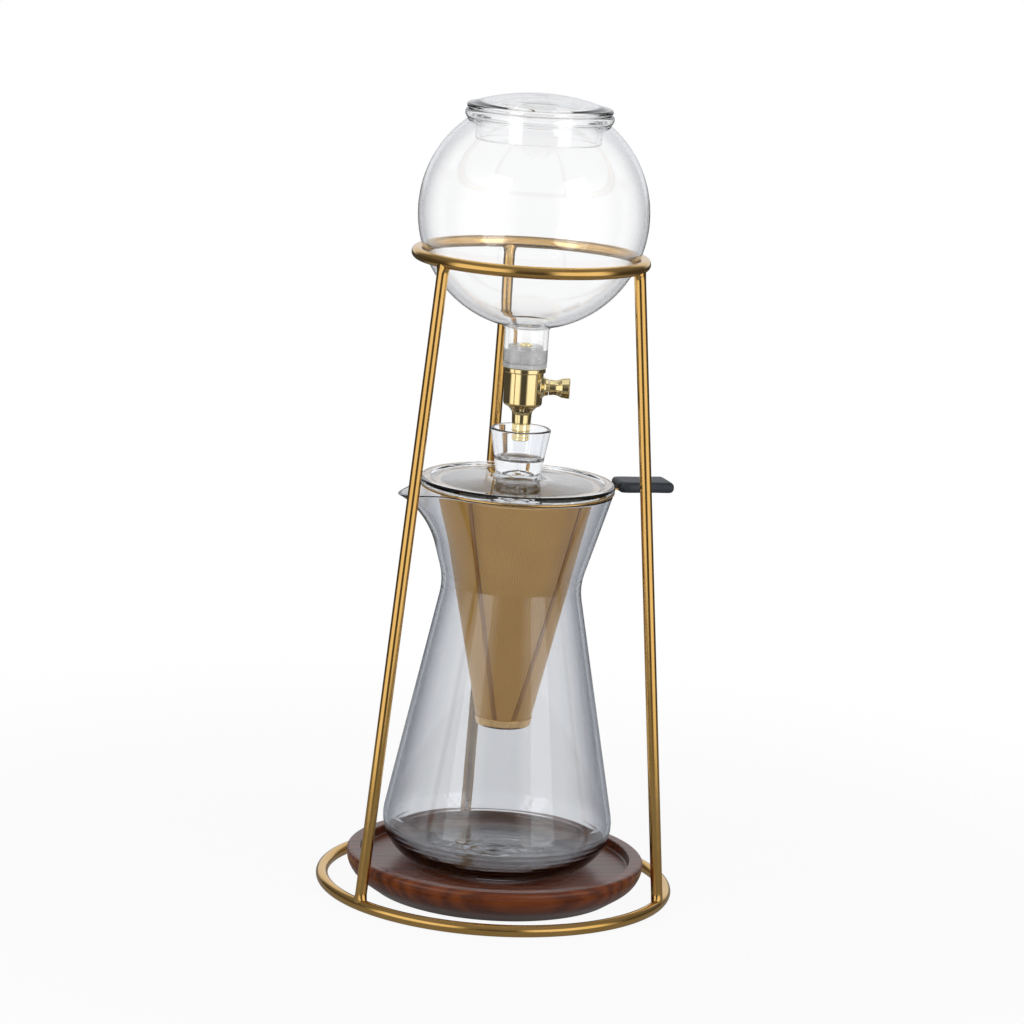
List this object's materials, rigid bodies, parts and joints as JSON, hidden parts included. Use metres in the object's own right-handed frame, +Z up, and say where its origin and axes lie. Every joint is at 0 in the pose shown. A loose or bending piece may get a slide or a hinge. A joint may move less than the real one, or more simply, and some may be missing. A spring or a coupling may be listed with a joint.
{
  "type": "cold drip coffee tower",
  "caption": "Cold drip coffee tower: a gold wire stand holds a lidded glass water globe whose brass needle valve drips into a waisted glass jug with a mesh cone filter, on a round wood base.",
  "frame": {"origin": "on the table, at the centre of the base ring", "axes": "+Z up; +X towards the filter's grip, the jug's pouring lip points along -X, and the user stands on the -Y side, where the bay between the two front legs is open"},
  "size_m": [0.18, 0.18, 0.4016],
  "materials": {
    "stand_gold": "steel wire with polished gold plating",
    "walnut": "turned walnut, satin oil finish",
    "jug_glass": "clear blown borosilicate glass",
    "filter_gold": "pressed steel with gold plating",
    "filter_mesh": "fine etched steel mesh, gold coated",
    "filter_seam": "welded lap seam of the mesh",
    "grip_black": "matt black moulded plastic",
    "lid_glass": "clear pressed glass",
    "globe_glass": "clear blown borosilicate glass",
    "silicone": "translucent moulded silicone",
    "valve_brass": "turned and polished brass",
    "seal_rubber": "nitrile O-ring"
  },
  "bodies": {
    "stand": {"base_ring": "stand_gold", "top_ring": "stand_gold", "leg_back": "stand_gold", "leg_front_left": "stand_gold", "leg_front_right": "stand_gold"},
    "tray": {"wood_base": "walnut"},
    "jug": {"jug": "jug_glass"},
    "filter": {"filter_rim": "filter_gold", "filter_outer_mesh": "filter_mesh", "filter_inner_mesh": "filter_mesh", "filter_base": "filter_gold", "filter_seams": "filter_seam", "handle_grip": "grip_black"},
    "jug_lid": {"jug_lid": "lid_glass"},
    "globe": {"globe": "globe_glass", "valve_stopper": "silicone", "valve_tail": "valve_brass", "valve_body": "valve_brass", "valve_nozzle": "valve_brass"},
    "globe_lid": {"globe_lid": "lid_glass"},
    "spindle_seal": {"spindle_seal": "seal_rubber"},
    "knob": {"needle": "valve_brass", "valve_knob": "valve_brass"}
  },
  "joints": [
    {"name": "tray_lift", "type": "slide", "parent": "stand", "child": "tray", "axis": [0, 0, 1], "range_m": [0, 0.008]},
    {"name": "jug_lift", "type": "slide", "parent": "tray", "child": "jug", "axis": [0, 0, 1], "range_m": [0, 0.008]},
    {"name": "filter_lift", "type": "slide", "parent": "jug", "child": "filter", "axis": [0, 0, 1], "range_m": [0, 0.008]},
    {"name": "jug_lid_lift", "type": "slide", "parent": "filter", "child": "jug_lid", "axis": [0, 0, 1], "range_m": [0, 0.008]},
    {"name": "globe_lift", "type": "slide", "parent": "stand", "child": "globe", "axis": [0, 0, 1], "range_m": [0, 0.12]},
    {"name": "globe_lid_lift", "type": "slide", "parent": "globe", "child": "globe_lid", "axis": [0, 0, 1], "range_m": [0, 0.04]},
    {"name": "needle_travel", "type": "slide", "parent": "globe", "child": "spindle_seal", "axis": [0.9511, -0.309, 0], "range_m": [0, 0.0015]},
    {"name": "knob_turn", "type": "hinge", "parent": "spindle_seal", "child": "knob", "pos_m": [0, 0, 0.2571], "axis": [0.9511, -0.309, 0], "range_deg": [0, 1080.01]}
  ],
  "couplings": [
    {"joint": "knob_turn", "follows": "needle_travel", "rad_per_m": 12566}
  ]
}
